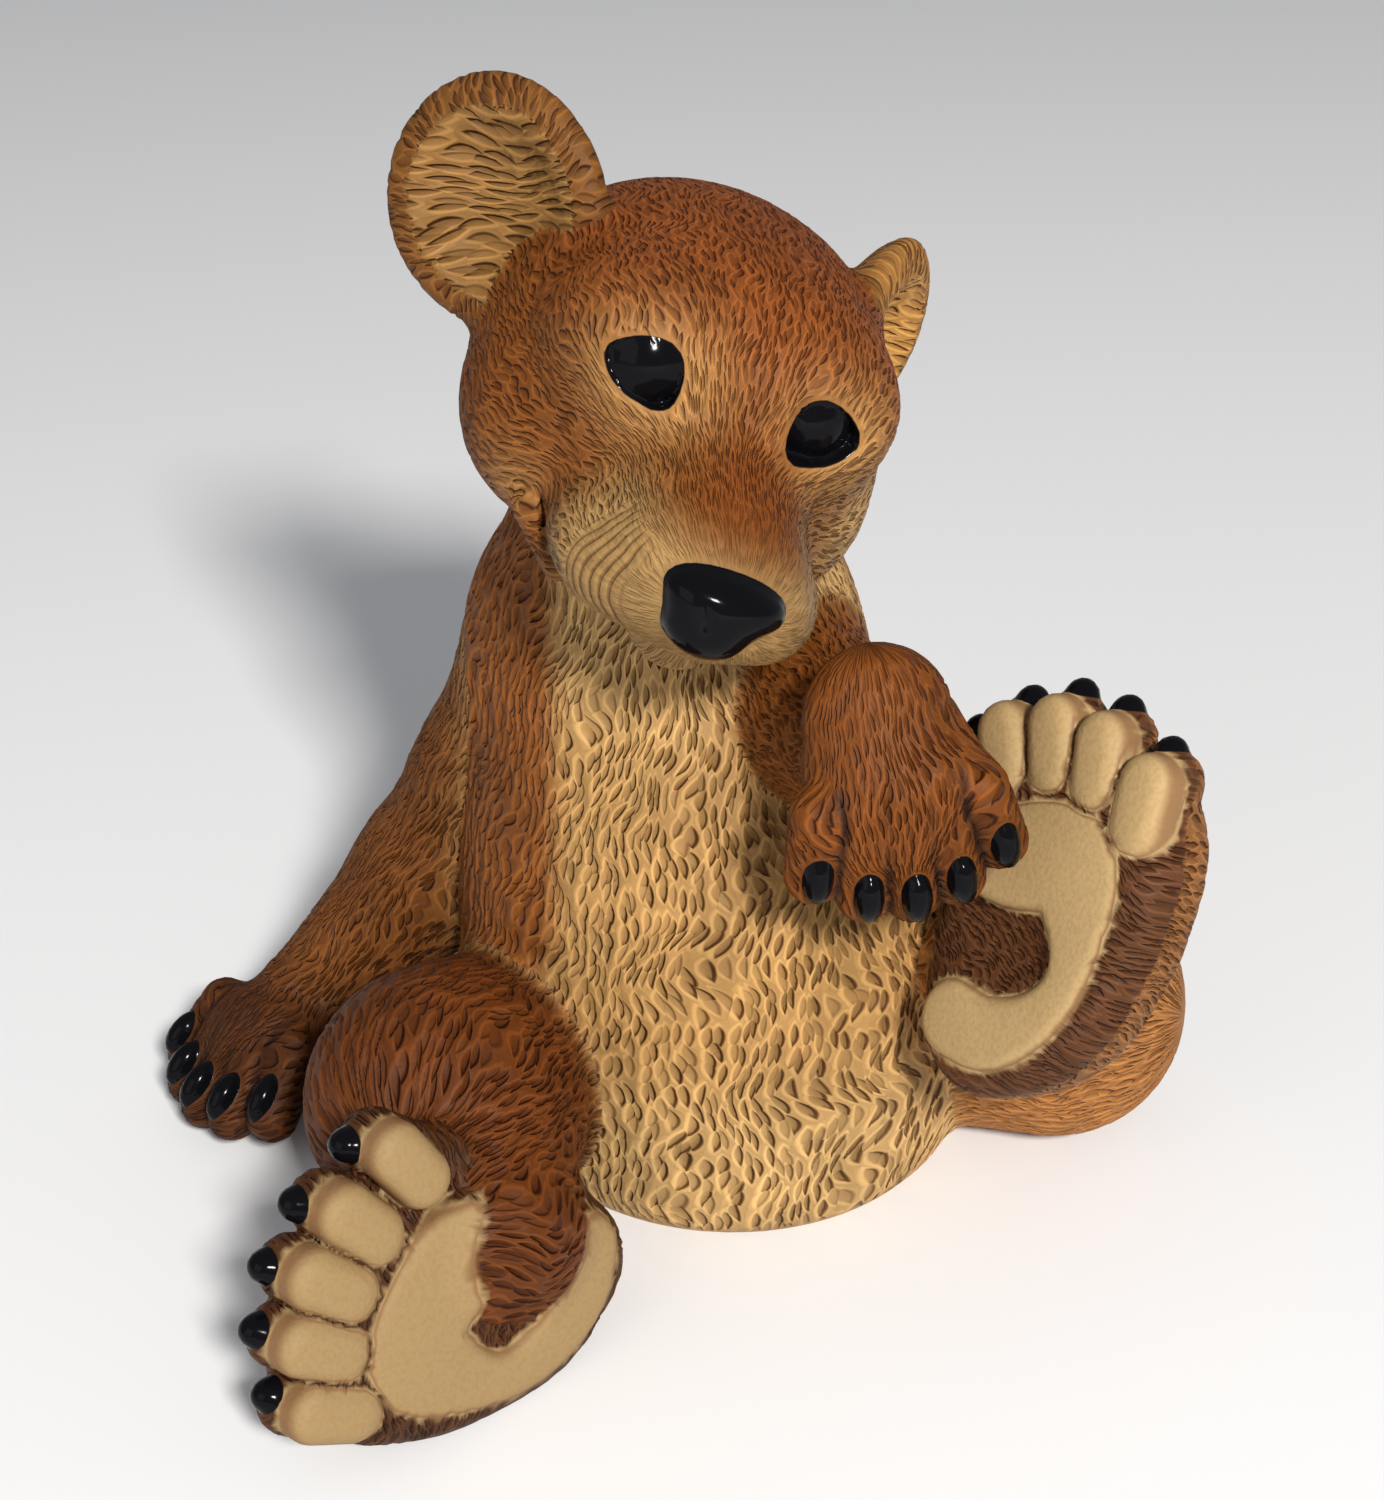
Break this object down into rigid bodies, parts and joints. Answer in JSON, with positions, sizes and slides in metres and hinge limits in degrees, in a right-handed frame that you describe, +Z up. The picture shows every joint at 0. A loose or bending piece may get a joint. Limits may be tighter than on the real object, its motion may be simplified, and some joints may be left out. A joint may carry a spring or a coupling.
{
  "type": "seated bear cub figurine",
  "caption": "Seated bear cub cast in resin with carved fur, head tilted, one foot raised towards its paw. A decorative figure that rests on its flat underside.",
  "frame": {"origin": "on the flat underside, below the seat", "axes": "+Z up, the cub faces -Y, +X towards its left side"},
  "size_m": [0.261, 0.2149, 0.2618],
  "materials": {
    "painted_resin": "hand-painted resin in tan and brown with dark washes in the fur, and gloss black eyes, nose and claws"
  },
  "bodies": {
    "root": {"bear_casting": "painted_resin"}
  },
  "joints": []
}
